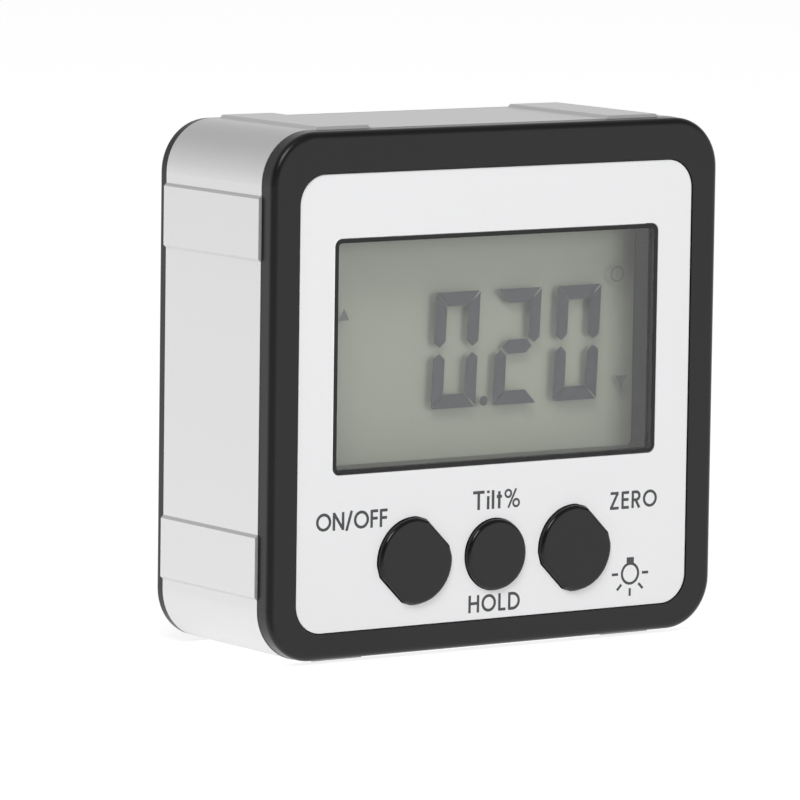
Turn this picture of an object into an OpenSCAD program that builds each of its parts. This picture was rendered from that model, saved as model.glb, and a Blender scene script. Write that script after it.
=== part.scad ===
// Digital angle gauge: an extruded aluminium frame between a moulded bezel and a moulded rear cover.
// Seen from the front, X runs to the right and Z up, and the front faces -Y.
// The origin is on the base, under the middle of the case. All sizes are in millimetres.

/* [Case] */
// Width over the rails of the two sides
case_w = 56; // [55:0.5:62]
// Height over the rails of the base and the top
case_h = 54; // [53:0.5:62]
// Depth from the bezel's face to the rear face
case_d = 21; // [21:0.5:26]
// Corner radius of the bezel and the rear cover
corner_r = 5.3; // [4.5:0.1:6.5]
// How far the bezel and the rear cover stay below the rail faces
cover_step = 0.35; // [0.3:0.05:0.45]
// Wall of the extruded frame between its rails
frame_wall = 2.2; // [2:0.1:2.5]
// Width of a rail's face
rail_w = 6; // [5.4:0.2:8]
// Height of a rail above the frame's skin
rail_proud = 0.3; // [0.25:0.05:0.6]
// Run of the slope on each side of a rail
rail_slope = 0.3; // [0.1:0.05:0.6]
// Distance from a case side to the middle of the nearest rail round the corner
rail_inset = 10; // [9:0.5:13]

/* [Front] */
// Thickness of the bezel in front of the frame
bezel_d = 2.1; // [1.8:0.1:2.3]
// Rounding of the bezel's front edge
bezel_edge = 0.7; // [0.3:0.05:1]
// Bezel left showing beside the label
side_border = 3.35; // [2.8:0.05:4]
// Bezel left showing above the label
top_border = 4.3; // [3.5:0.05:5]
// Bezel left showing below the label
bottom_border = 2.8; // [2:0.1:3.5]
// Corner radius of the label
label_r = 3; // [1:0.1:4]
// Thickness of the label
label_t = 0.35; // [0.2:0.05:0.5]
// How far the label lies below the bezel's face
label_sink = 0.15; // [0.05:0.05:0.3]
// Label left on each side of the window
window_side = 4.2; // [3:0.05:7]
// Label left above the window
window_drop = 6.5; // [5:0.1:9]
// Label left below the window, where the keys are
window_foot = 15.9; // [15.5:0.05:20]
// Corner radius of the window pane
window_r = 0.8; // [0.6:0.1:3]
// Thickness of the window pane
window_t = 0.8; // [0.5:0.1:1.2]
// Black ledge that the pane is bonded to
window_ledge = 0.45; // [0.3:0.05:1.1]

/* [Keys] */
// Radius of the outer keys
key_r = 4.45; // [4:0.05:4.8]
// Distance from an outer key's middle to each of its flats
key_flat = 3.9; // [3.4:0.05:3.95]
// Cut off each corner between an outer key's round and its flats
key_ease = 0.12; // [0.05:0.01:0.2]
// Radius of the middle key
middle_r = 3.65; // [3:0.05:4]
// Distance between neighbouring keys
key_pitch = 10; // [9.8:0.1:12]
// Height of the keys above the label's lower edge
key_rise = 6.6; // [6:0.1:7.5]
// How far a key stands out of the bezel's face
key_proud = 0.5; // [0.4:0.05:1]
// Rounding of a key's front edge
key_edge = 0.4; // [0.2:0.05:0.8]
// How far a key goes in
key_travel = 0.4; // [0.2:0.05:0.5]
// Length of a key's stem behind its flange
key_stem = 0.35; // [0.1:0.05:1]
// Lap of a key's flange behind the bezel
flange_lap = 0.6; // [0.4:0.05:0.7]
// Thickness of a key's flange
flange_t = 0.8; // [0.5:0.1:0.9]

/* [Display] */
// Display glass hidden behind the bezel on each side
lcd_side = 2.55; // [2:0.05:3]
// Display's rear glass hidden behind the bezel above and below
lcd_rise = 0.95; // [0.7:0.05:1.3]
// Front glass left below the rear glass for its contacts
lcd_ledge = 2.4; // [2:0.1:2.8]
// Thickness of each of the two glasses
glass_t = 1; // [0.7:0.05:1.3]
// Thickness of the reflector film
reflector_t = 0.2; // [0.1:0.05:0.4]
// Thickness of the light guide
guide_t = 1; // [0.8:0.1:1.6]
// Margin of the light guide inside the glass
guide_margin = 1.1; // [0.9:0.1:1.6]
// Wall of the display holder
holder_wall = 1.2; // [0.8:0.1:1.4]
// Wall of the shroud between the bezel and the glass
shroud_wall = 1; // [0.6:0.1:1.4]
// Distance from the end of the contact strip to the glass's side
strip_inset = 2.2; // [1:0.1:6]
// Length of a backlight lamp
lamp_len = 3; // [2:0.5:4]
// Depth of a backlight lamp
lamp_t = 0.9; // [0.6:0.1:1]

/* [Board] */
// Thickness of the circuit board
board_t = 0.8; // [0.6:0.1:1]
// Side of a push switch
switch_w = 6; // [5:0.5:7]
// Floor left under the bore of a push switch
switch_floor = 0.2; // [0.1:0.05:0.5]
// Diameter of a switch plunger
plunger_d = 3.4; // [2.5:0.1:3.8]
// Plunger left outside its switch
plunger_out = 0.8; // [0.6:0.1:0.9]
// Radius of the posts that carry the board
post_r = 1.7; // [1.5:0.1:1.9]
// Distance of the upper posts from the middle
upper_post_x = 14; // [8:0.5:16]
// Distance of the lower posts from the frame's inner sides
post_inset = 6; // [5.5:0.1:7]
// Side of the main chip
chip_w = 7; // [5:0.5:8]
// Height of the chips
chip_t = 1; // [0.8:0.1:1.5]
// Gap between the main chip's leads and the battery tray
chip_room = 1.4; // [0.5:0.1:1.6]
// Leads on each side of the main chip
chip_leads = 8; // [4:1:10]
// Side of the tilt sensor
sensor_w = 4; // [3:0.5:5]
// Diameter of the clock crystal's can
crystal_d = 2; // [1.5:0.1:3]
// Length of the clock crystal's can
crystal_len = 6; // [5:0.5:8]
// Length of a chip resistor or capacitor
passive_len = 1.6; // [1:0.1:2]
// Distance between neighbouring resistors or capacitors
passive_pitch = 3; // [2.6:0.1:3.6]

/* [Battery] */
// Diameter of a cell
cell_d = 10.5; // [9.5:0.1:10.6]
// Gap between the two cells
cell_space = 0.5; // [0.3:0.05:1.5]
// Diameter of a cell's terminal
nub_d = 3.8; // [3:0.1:5]
// Height of a cell's terminal
nub_len = 0.8; // [0.6:0.1:1.4]
// Wall of the battery tray
tray_wall = 1; // [0.8:0.1:1.3]
// Floor of the battery tray
tray_floor = 0.8; // [0.5:0.1:1]
// Height of the rib between the cells
rib_h = 3; // [1:0.1:3.2]
// Thickness of the rib between the cells
rib_t = 0.9; // [0.6:0.1:1]
// Thickness of the contact plates
contact_t = 0.3; // [0.2:0.05:0.5]
// Side of a contact plate
contact_w = 8; // [6:0.5:9]
// Width of a contact's solder tab
tab_w = 3; // [2:0.5:4]
// Wire diameter of the contact springs
spring_wire = 0.5; // [0.3:0.05:0.7]
// Coil radius of a contact spring at its plate
spring_r = 3; // [2.5:0.1:4]
// Coil radius of a contact spring at its cell
spring_tip_r = 2; // [1.5:0.1:2.5]
// Length of a contact spring with its cell in place
spring_len = 3.3; // [2.5:0.1:5]
// Turns of a contact spring
spring_turns = 3; // [2:0.5:4]

/* [Rear] */
// Thickness of the rear cover behind the frame
cover_d = 1.4; // [1.3:0.1:1.6]
// Rounding of the rear cover's edge
cover_edge = 0.5; // [0.2:0.05:0.8]
// Lap of the battery door over the tray's opening
door_lap = 0.6; // [0.4:0.1:1]
// Corner radius of the battery door
door_r = 1.5; // [0.5:0.1:3]
// Width of the door's tongues
tongue_w = 0.8; // [0.4:0.1:1]
// Thickness of the door's tongues
tongue_t = 0.55; // [0.4:0.05:0.6]
// Grooves in the door's finger grip
grip_count = 5; // [3:1:7]
// Length of a grip groove
grip_len = 12; // [8:1:18]
// Width of a grip groove
grip_w = 0.8; // [0.5:0.1:1]
// Depth of a grip groove
grip_depth = 0.35; // [0.2:0.05:0.5]
// Distance between grip grooves
grip_pitch = 1.8; // [1.5:0.1:2.5]
// Distance of the first grip groove from the door's end
grip_inset = 4; // [3:0.5:8]
// Length of the lips that fit inside the frame
spigot_len = 2; // [1.5:0.1:2.5]
// Wall of the lips that fit inside the frame
spigot_wall = 1.2; // [1:0.1:1.4]
// Width of the rubber seals
seal_w = 0.8; // [0.5:0.1:0.9]
// Thickness of the rubber seals
seal_t = 0.8; // [0.5:0.1:1]

/* [Fasteners] */
// Distance from the left and right sides to a corner screw
screw_inset_x = 6; // [5.6:0.1:6.4]
// Distance from the base and the top to a corner screw
screw_inset_z = 6.7; // [6.5:0.1:7]
// Radius of the screw ports in the frame's corners
port_r = 2.6; // [2.2:0.1:3]
// Thread diameter of the corner screws
screw_d = 2; // [1.6:0.1:2.4]
// Length of a corner screw below its head
screw_len = 6.5; // [5:0.5:7.5]
// Head diameter of the corner screws
head_d = 3.4; // [3:0.1:3.6]
// Head height of the corner screws
head_h = 0.7; // [0.5:0.05:0.8]
// Thread diameter of the board screws
board_screw_d = 1.6; // [1.2:0.1:1.8]
// Length of a board screw below its head
board_screw_len = 4; // [3:0.5:4.5]
// Head diameter of the board screws
board_head_d = 2.8; // [2.2:0.1:3.2]
// Head height of the board screws
board_head_h = 0.9; // [0.5:0.1:1.2]
// Diameter of the base magnets
magnet_d = 5; // [3:0.5:5]
// Thickness of the base magnets
magnet_t = 1.5; // [1:0.1:1.6]
// Distance between the two magnets of a rail
magnet_pitch = 8.8; // [6:0.2:10]

/* [Fits] */
// Gap round the label
label_gap = 0.1; // [0.05:0.05:0.2]
// Gap round the window pane
window_gap = 0.05; // [0.02:0.01:0.1]
// Gap round the keys in the label and the bezel
key_gap = 0.1; // [0.05:0.05:0.3]
// Play of a key's flange behind the bezel
key_slack = 0.05; // [0.02:0.01:0.1]
// Gap round a switch plunger
plunger_gap = 0.1; // [0.05:0.05:0.2]
// Room left under a plunger that is pressed home
plunger_room = 0.2; // [0.1:0.05:0.4]
// Gap between a lip and the frame
spigot_gap = 0.15; // [0.1:0.05:0.3]
// Gap between the board and the frame
board_gap = 0.3; // [0.2:0.1:0.6]
// Gap between the board and the battery tray
board_room = 0.2; // [0.1:0.05:0.3]
// Gap between the tray's ends and the frame
tray_gap = 0.3; // [0.2:0.1:0.4]
// Gap round the cells
cell_gap = 0.25; // [0.1:0.05:0.4]
// Gap between the cells and the tray's floor
cell_lift = 0.1; // [0.05:0.05:0.2]
// Gap between the cells and the door
cell_room = 0.2; // [0.1:0.05:0.3]
// Gap under the door
door_lift = 0.1; // [0.05:0.05:0.2]
// Gap round the door and over its tongues
door_gap = 0.15; // [0.1:0.05:0.2]
// Gap round the display glass in its holder
lcd_gap = 0.15; // [0.1:0.05:0.3]
// Gap between the display holder and the posts
post_gap = 0.3; // [0.2:0.1:0.5]
// Gap round a screw's thread in its own hole
thread_gap = 0.02; // [0.01:0.01:0.05]
// Gap round a screw where it passes through
screw_gap = 0.15; // [0.1:0.05:0.25]
// How far a screw head or a magnet lies below its face
sunk = 0.1; // [0.05:0.05:0.2]
// Gap round a contact's solder tab
tab_gap = 0.1; // [0.05:0.05:0.2]

/* [Hidden] */
$fn = 48;

// Outlines seen from the front
mid_z = case_h / 2;
cover_w = case_w - 2 * cover_step;
cover_h = case_h - 2 * cover_step;
skin_w = case_w - 2 * rail_proud;
skin_h = case_h - 2 * rail_proud;
skin_r = corner_r - rail_proud + cover_step;
inner_w = skin_w - 2 * frame_wall;
inner_h = skin_h - 2 * frame_wall;
inner_r = skin_r - frame_wall;
rail_x = case_w / 2 - rail_inset;
rail_z = case_h / 2 - rail_inset;
screw_x = case_w / 2 - screw_inset_x;
screw_z = case_h / 2 - screw_inset_z;
label_w = cover_w - 2 * side_border;
label_z0 = cover_step + bottom_border;
label_z1 = case_h - cover_step - top_border;
label_h = label_z1 - label_z0;
window_w = label_w - 2 * window_side;
window_h = label_h - window_drop - window_foot;
window_z = label_z1 - window_drop - window_h / 2;
view_w = window_w - 2 * window_ledge;
view_h = window_h - 2 * window_ledge;
view_r = window_r - window_ledge / 2;
key_z = label_z0 + key_rise;
lcd_w = view_w + 2 * lcd_side;
lcd_h = view_h + 2 * lcd_rise;
lcd_z0 = window_z - lcd_h / 2;
lcd_z1 = window_z + lcd_h / 2;
ledge_z0 = lcd_z0 - lcd_ledge;
holder_wrap = lcd_gap + holder_wall;
strip_w = lcd_w - 2 * strip_inset;
guide_w = lcd_w - 2 * guide_margin;
guide_h = lcd_h - 2 * lcd_gap;

// Levels from the front face back
front_y = -case_d / 2;
rear_y = case_d / 2;
label_y = front_y + label_sink;
label_back = label_y + label_t;
window_back = label_y + window_t;
frame_y0 = front_y + bezel_d;
cover_y = rear_y - cover_d;
front_head_y = label_back + sunk;
rear_head_y = rear_y - sunk;
key_y = frame_y0 + key_slack;
key_depth = key_y - front_y + key_proud;
door_y = cover_y + door_lift;
cell_y = door_y - cell_room - cell_d / 2;
tray_in_y = cell_y - cell_d / 2 - cell_lift;
tray_y = tray_in_y - tray_floor;
board_back = tray_y - board_room;
board_y = board_back - board_t;
guide_y = board_y - guide_t;
reflector_y = guide_y - reflector_t;
glass_mid = reflector_y - glass_t;
glass_y = glass_mid - glass_t;
plunger_y = key_y + flange_t + key_stem;
switch_y = plunger_y + plunger_out;
switch_bore = board_y - switch_y - switch_floor;
plunger_in = switch_bore - key_travel - plunger_room;
key_turn = acos(key_flat / key_r);
key_soft = key_r - key_ease;

// The battery tray and its cells
cell_pitch = cell_d + cell_space;
tray_in_w = inner_w - 2 * (tray_gap + tray_wall);
tray_in_h = cell_pitch + cell_d + 2 * cell_gap;
tray_w = tray_in_w + 2 * tray_wall;
tray_h = tray_in_h + 2 * tray_wall;
contact_x = tray_in_w / 2 - contact_t;
cell_z = cell_pitch / 2;
cell_len = 2 * contact_x - spring_len;
cell_edge = 0.6;
rim_t = spigot_len;
rim_h = tray_in_h + 2 * (door_lap + tongue_w + door_gap + tray_wall);
door_half = tray_in_h / 2 + door_lap;
door_left = -tray_in_w / 2 - door_lap;

// The board's posts stand clear of the display holder and the tray
lower_post_x = inner_w / 2 - post_inset;
lower_post_z = min(ledge_z0 - holder_wrap, mid_z - tray_h / 2) - post_gap - post_r;
upper_post_z = max(lcd_z1 + holder_wrap, mid_z + tray_h / 2) + post_gap + post_r;

// Cutters run this far past the faces that they open
past = 1;
cross_w = head_d / 4;
cross_len = head_d * 0.7;
cross_depth = head_h * 0.6;

// Leads and small blocks on the back of the board, with the chips kept clear of the tray
lead_w = 0.3;
lead_t = 0.2;
lead_reach = 1;
chip_z = mid_z - tray_h / 2 - chip_room - chip_w / 2 - lead_reach / 2;
passive_w = passive_len / 2;
passive_t = passive_len / 3;

black = [0.16, 0.16, 0.165];
steel = [0.72, 0.73, 0.74];
aluminium = [0.84, 0.84, 0.85];
nickel = [0.8, 0.79, 0.74];

// Flat shape in X and Z made solid from y0 to y1
module slab(y0, y1) {
    translate([0, y1, 0])
        rotate([90, 0, 0])
            linear_extrude(y1 - y0)
                children();
}

// Solid that stands on Z, turned so that its top faces the front
module face_front(x, y, z) {
    translate([x, y, z])
        rotate([90, 0, 0])
            children();
}

// Solid that stands on Z, turned so that its top faces the rear
module face_rear(x, y, z) {
    translate([x, y, z])
        rotate([-90, 0, 0])
            children();
}

// Rectangle with round corners, about the middle
module rounded_rect(w, h, r) {
    square([w - 2 * r, h], center = true);
    square([w, h - 2 * r], center = true);
    for (x = [-1, 1], z = [-1, 1])
        translate([x * (w / 2 - r), z * (h / 2 - r)])
            circle(r);
}

// Rectangle about the middle line, from z0 up to z1
module span(w, z0, z1) {
    translate([-w / 2, z0])
        square([w, z1 - z0]);
}

// Half section of a plate, with its upper outer edge rounded
module edge_profile(r, depth, edge) {
    difference() {
        square([r, depth]);
        translate([r - edge, depth - edge])
            difference() {
                square(2 * edge);
                circle(edge);
            }
    }
}

// Plate with round corners and a rounded top edge
module rounded_plate(w, h, r, depth, edge) {
    translate([0, 0, depth / 2])
        cube([w - 2 * r, h - 2 * r, depth], center = true);
    for (turn = [0 : 90 : 270]) {
        upright = turn % 180 == 0;
        reach = (upright ? w : h) / 2 - r;
        side = (upright ? h : w) - 2 * r;
        rotate(turn)
            translate([reach, side / 2, 0]) {
                rotate([90, 0, 0])
                    linear_extrude(side)
                        edge_profile(r, depth, edge);
                rotate_extrude(angle = 90)
                    edge_profile(r, depth, edge);
            }
    }
}

// Section of a bar, with both of its upper edges rounded
module bar_profile(half, depth, edge) {
    translate([edge - half, 0])
        square([2 * (half - edge), depth]);
    translate([-half, 0])
        square([2 * half, depth - edge]);
    for (side = [-1, 1])
        translate([side * (half - edge), depth - edge])
            circle(edge);
}

// Bar that keeps a cap between two flats, turned to where they lie
module cap_bar(half, long, depth, edge, turn) {
    rotate(turn)
        translate([0, long / 2, 0])
            rotate([90, 0, 0])
                linear_extrude(long)
                    bar_profile(half, depth, edge);
}

// Each corner screw's place, flat or solid
module at_corners_flat() {
    translate([0, mid_z])
        for (x = [-1, 1], z = [-1, 1])
            translate([x * screw_x, z * screw_z])
                children();
}

module at_corners() {
    translate([0, 0, mid_z])
        for (x = [-1, 1], z = [-1, 1])
            translate([x * screw_x, 0, z * screw_z])
                children();
}

// Screw ports that fill the corners of the frame
module corner_ports(grow) {
    r = port_r + grow;
    at_corners_flat()
        circle(r);
    translate([0, mid_z])
        for (x = [-1, 1], z = [-1, 1]) {
            translate([x * (screw_x + (screw_inset_x - r) / 2), z * (screw_z + screw_inset_z / 2)])
                square([r + screw_inset_x, screw_inset_z], center = true);
            translate([x * (screw_x + screw_inset_x / 2), z * (screw_z + (screw_inset_z - r) / 2)])
                square([screw_inset_x, r + screw_inset_z], center = true);
        }
}

// Clear space inside the frame, drawn in by a gap
module inner_space(gap) {
    difference() {
        translate([0, mid_z])
            rounded_rect(inner_w - 2 * gap, inner_h - 2 * gap, inner_r - gap / 2);
        corner_ports(gap);
    }
}

// Section of one rail, standing on the frame's skin
module rail_section() {
    polygon([
        [-rail_w / 2 - rail_slope, -frame_wall / 2],
        [rail_w / 2 + rail_slope, -frame_wall / 2],
        [rail_w / 2 + rail_slope, 0],
        [rail_w / 2, rail_proud],
        [-rail_w / 2, rail_proud],
        [-rail_w / 2 - rail_slope, 0]
    ]);
}

// Section of the frame with two rails on each side
module frame_section() {
    difference() {
        union() {
            translate([0, mid_z])
                rounded_rect(skin_w, skin_h, skin_r);
            translate([0, mid_z])
                for (turn = [0 : 90 : 270], side = [-1, 1]) {
                    level = turn % 180 == 0;
                    along = level ? rail_x : rail_z;
                    reach = (level ? skin_h : skin_w) / 2;
                    rotate(turn)
                        translate([side * along, reach])
                            rail_section();
                }
        }
        inner_space(0);
        at_corners_flat()
            circle(d = screw_d + 2 * thread_gap);
    }
}

// Pockets or discs of the base magnets
module at_magnets() {
    middle = (frame_y0 + cover_y) / 2;
    for (x = [-1, 1], y = [-1, 1])
        translate([x * rail_x, middle + y * magnet_pitch / 2, 0])
            children();
}

module case_frame() {
    color(aluminium)
        difference() {
            slab(frame_y0, cover_y)
                frame_section();
            at_magnets()
                translate([0, 0, -past])
                    cylinder(d = magnet_d + 2 * thread_gap, h = past + sunk + magnet_t);
        }
}

module base_magnets() {
    color(nickel)
        at_magnets()
            translate([0, 0, sunk])
                cylinder(d = magnet_d, h = magnet_t);
}

// Outlines on the front
module label_outline(gap) {
    translate([0, (label_z0 + label_z1) / 2])
        rounded_rect(label_w + 2 * gap, label_h + 2 * gap, label_r + gap);
}

module window_outline(gap) {
    translate([0, window_z])
        rounded_rect(window_w + 2 * gap, window_h + 2 * gap, window_r + gap);
}

module view_outline(grow) {
    translate([0, window_z])
        rounded_rect(view_w + 2 * grow, view_h + 2 * grow, view_r + grow);
}

// An outer key's outline, with its flats to the upper right and the lower left
module flatted_outline(gap) {
    rotate(45)
        intersection() {
            circle(key_r + gap);
            square([2 * (key_flat + gap), 4 * key_r], center = true);
            rotate(key_turn)
                square([2 * (key_soft + gap), 4 * key_r], center = true);
            rotate(-key_turn)
                square([2 * (key_soft + gap), 4 * key_r], center = true);
        }
}

module key_holes(gap) {
    translate([0, key_z]) {
        circle(middle_r + gap);
        for (side = [-1, 1])
            translate([side * key_pitch, 0])
                flatted_outline(gap);
    }
}

// Lips that fit inside the frame between its screw ports, and the groove at their root for a seal
module spigot_section() {
    inset = spigot_gap + spigot_wall;
    difference() {
        inner_space(spigot_gap);
        translate([0, mid_z])
            square([inner_w - 2 * inset, inner_h - 2 * inset], center = true);
    }
}

module seal_groove() {
    difference() {
        translate([0, mid_z])
            square([case_w, case_h], center = true);
        inner_space(seal_w);
    }
}

module seal_section() {
    difference() {
        inner_space(0);
        inner_space(seal_w);
    }
}

module at_posts() {
    for (side = [-1, 1]) {
        translate([side * lower_post_x, lower_post_z])
            children();
        translate([side * upper_post_x, upper_post_z])
            children();
    }
}

module front_bezel() {
    color(black)
        difference() {
            union() {
                face_front(0, frame_y0, mid_z)
                    rounded_plate(cover_w, cover_h, corner_r, bezel_d, bezel_edge);
                slab(frame_y0, frame_y0 + spigot_len)
                    spigot_section();
                slab(frame_y0, glass_y)
                    view_outline(shroud_wall);
                slab(frame_y0, board_y)
                    at_posts()
                        circle(post_r);
            }
            slab(front_y - past, label_back)
                label_outline(label_gap);
            slab(front_y - past, window_back)
                window_outline(window_gap);
            slab(front_y - past, glass_y + past)
                view_outline(0);
            slab(front_y - past, frame_y0 + past)
                key_holes(key_gap);
            slab(front_y - past, front_head_y + head_h)
                at_corners_flat()
                    circle(d = head_d + 2 * screw_gap);
            slab(front_y - past, frame_y0 + past)
                at_corners_flat()
                    circle(d = screw_d + 2 * screw_gap);
            slab(frame_y0, frame_y0 + seal_t)
                seal_groove();
            slab(board_back - board_screw_len - past, board_y + past)
                at_posts()
                    circle(d = board_screw_d + 2 * thread_gap);
            slab(glass_y, board_y)
                span(lcd_w + 2 * holder_wrap, ledge_z0 - holder_wrap, lcd_z1 + holder_wrap);
        }
}

module front_label() {
    color([0.93, 0.93, 0.94])
        slab(label_y, label_back)
            difference() {
                label_outline(0);
                window_outline(window_gap);
                key_holes(key_gap);
            }
}

module display_window() {
    color([0.85, 0.9, 0.9, 0.35])
        slab(label_y, window_back)
            window_outline(0);
}

module front_seal() {
    color([0.1, 0.1, 0.1])
        slab(frame_y0, frame_y0 + seal_t)
            seal_section();
}

module rear_seal() {
    color([0.1, 0.1, 0.1])
        slab(cover_y - seal_t, cover_y)
            seal_section();
}

// Corner screw with a cross recess, standing on the end of its thread
module corner_screw() {
    cylinder(d = screw_d, h = screw_len);
    translate([0, 0, screw_len])
        difference() {
            cylinder(d = head_d, h = head_h);
            translate([0, 0, head_h])
                for (turn = [0, 90])
                    rotate(turn)
                        cube([cross_len, cross_w, 2 * cross_depth], center = true);
        }
}

module front_screws() {
    color(steel)
        at_corners()
            face_front(0, front_head_y + head_h + screw_len, 0)
                corner_screw();
}

module rear_screws() {
    color(steel)
        at_corners()
            face_rear(0, rear_head_y - head_h - screw_len, 0)
                corner_screw();
}

// Key cap on its flange, with a stem down to the switch plunger
module key_back(flange_r) {
    translate([0, 0, -flange_t])
        cylinder(r = flange_r, h = flange_t);
    translate([0, 0, -flange_t - key_stem])
        cylinder(d = plunger_d, h = key_stem + flange_t);
}

module outer_key(side) {
    color(black)
        face_front(side * key_pitch, key_y, key_z) {
            rotate(45)
                intersection() {
                    rotate_extrude()
                        edge_profile(key_r, key_depth, key_edge);
                    cap_bar(key_flat, 4 * key_r, key_depth, key_edge, 0);
                    cap_bar(key_soft, 4 * key_r, key_depth, key_edge, key_turn);
                    cap_bar(key_soft, 4 * key_r, key_depth, key_edge, -key_turn);
                }
            key_back(key_r + flange_lap);
        }
}

module left_key() {
    outer_key(-1);
}

module right_key() {
    outer_key(1);
}

module middle_key() {
    color(black)
        face_front(0, key_y, key_z) {
            rotate_extrude()
                edge_profile(middle_r, key_depth, key_edge);
            key_back(middle_r + flange_lap);
        }
}

// Push switch: a square body with a bore, and the plunger that runs in it
module switch_body(side) {
    color([0.12, 0.12, 0.13])
        difference() {
            slab(switch_y, board_y)
                translate([side * key_pitch, key_z])
                    square(switch_w, center = true);
            slab(switch_y - past, switch_y + switch_bore)
                translate([side * key_pitch, key_z])
                    circle(d = plunger_d + 2 * plunger_gap);
        }
}

module switch_plunger(side) {
    color([0.8, 0.8, 0.78])
        slab(plunger_y, switch_y + plunger_in)
            translate([side * key_pitch, key_z])
                circle(d = plunger_d);
}

module left_switch() {
    switch_body(-1);
}

module middle_switch() {
    switch_body(0);
}

module right_switch() {
    switch_body(1);
}

module left_plunger() {
    switch_plunger(-1);
}

module middle_plunger() {
    switch_plunger(0);
}

module right_plunger() {
    switch_plunger(1);
}

// Display: two bonded glasses, of which the front one reaches lower for its contacts
module lcd_glass() {
    color([0.7, 0.76, 0.7, 0.4]) {
        slab(glass_y, glass_mid)
            span(lcd_w, ledge_z0, lcd_z1);
        slab(glass_mid, reflector_y)
            span(lcd_w, lcd_z0, lcd_z1);
    }
}

module lcd_reflector() {
    color([0.62, 0.64, 0.58])
        slab(reflector_y, guide_y)
            translate([0, window_z])
                square([guide_w, guide_h], center = true);
}

module light_guide() {
    color([0.9, 0.92, 0.9])
        slab(guide_y, board_y)
            translate([0, window_z])
                square([guide_w, guide_h], center = true);
}

module backlight_lamps() {
    color([0.95, 0.9, 0.6])
        slab(guide_y, board_y)
            translate([0, window_z])
                for (side = [-1, 1])
                    translate([side * (guide_w + lamp_t) / 2, 0])
                        square([lamp_t, lamp_len], center = true);
}

module lcd_holder() {
    color([0.88, 0.88, 0.86])
        slab(glass_y, board_y)
            difference() {
                span(lcd_w + 2 * holder_wrap, ledge_z0 - holder_wrap, lcd_z1 + holder_wrap);
                span(lcd_w + 2 * lcd_gap, ledge_z0 - lcd_gap, lcd_z1 + lcd_gap);
                corner_ports(lcd_gap);
            }
}

module contact_strip() {
    color([0.75, 0.45, 0.5])
        slab(glass_mid, board_y)
            span(strip_w, ledge_z0 + lcd_gap, lcd_z0 - lcd_gap);
}

// The two solder tabs of the battery contacts, as slots with a gap or as bars without
module tab_sections(gap) {
    for (side = [-1, 1])
        translate([contact_x - gap, mid_z + side * cell_z - tab_w / 2 - gap])
            square([contact_t + 2 * gap, tab_w + 2 * gap]);
}

module circuit_board() {
    color([0.1, 0.42, 0.24])
        slab(board_y, board_back)
            difference() {
                inner_space(board_gap);
                at_posts()
                    circle(d = board_screw_d + 2 * screw_gap);
                tab_sections(tab_gap);
            }
}

module board_screws() {
    color(steel) {
        slab(board_back - board_screw_len, board_back)
            at_posts()
                circle(d = board_screw_d);
        slab(board_back, board_back + board_head_h)
            at_posts()
                circle(d = board_head_d);
    }
}

// Chips on the back of the board, below the battery tray
module main_chip() {
    color([0.1, 0.1, 0.11]) {
        slab(board_back + lead_t, board_back + chip_t)
            translate([-key_pitch, chip_z])
                square(chip_w, center = true);
        slab(board_back, board_back + 2 * lead_t)
            translate([-key_pitch, chip_z])
                for (turn = [0 : 90 : 270], i = [1 : chip_leads])
                    rotate(turn)
                        translate([chip_w / 2 - lead_reach / 2, (i - 0.5) * chip_w / chip_leads - chip_w / 2])
                            translate([0, -lead_w / 2])
                                square([lead_reach, lead_w]);
    }
}

module tilt_sensor() {
    color([0.2, 0.2, 0.22])
        slab(board_back, board_back + chip_t)
            translate([0, chip_z])
                square(sensor_w, center = true);
}

module clock_crystal() {
    color(steel)
        translate([key_pitch - crystal_len / 2, board_back + crystal_d / 2, chip_z])
            rotate([0, 90, 0])
                cylinder(d = crystal_d, h = crystal_len);
}

// Row of small block parts on the back of the board, between the upper posts
module passive_row(count, z) {
    slab(board_back, board_back + passive_t)
        for (i = [1 : count])
            translate([(i - (count + 1) / 2) * passive_pitch, z])
                square([passive_w, passive_len], center = true);
}

module chip_resistors() {
    color([0.15, 0.15, 0.16])
        passive_row(5, upper_post_z - passive_len);
}

module chip_capacitors() {
    color([0.72, 0.6, 0.42])
        passive_row(5, upper_post_z + passive_len);
}

// Rear cover without its openings, with a rounded rear edge
module cover_blank() {
    face_rear(0, cover_y, mid_z)
        rounded_plate(cover_w, cover_h, corner_r, cover_d, cover_edge);
}

// Outline of the door, open to the right: its panel, or its tongues when grown
module door_outline(grow) {
    left = door_left - grow;
    half = door_half + grow;
    translate([0, mid_z]) {
        translate([left + door_r, -half])
            square([case_w - left, 2 * half]);
        translate([left, -half + door_r])
            square([2 * door_r, 2 * (half - door_r)]);
        for (side = [-1, 1])
            translate([left + door_r, side * (half - door_r)])
                circle(door_r);
    }
}

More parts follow.
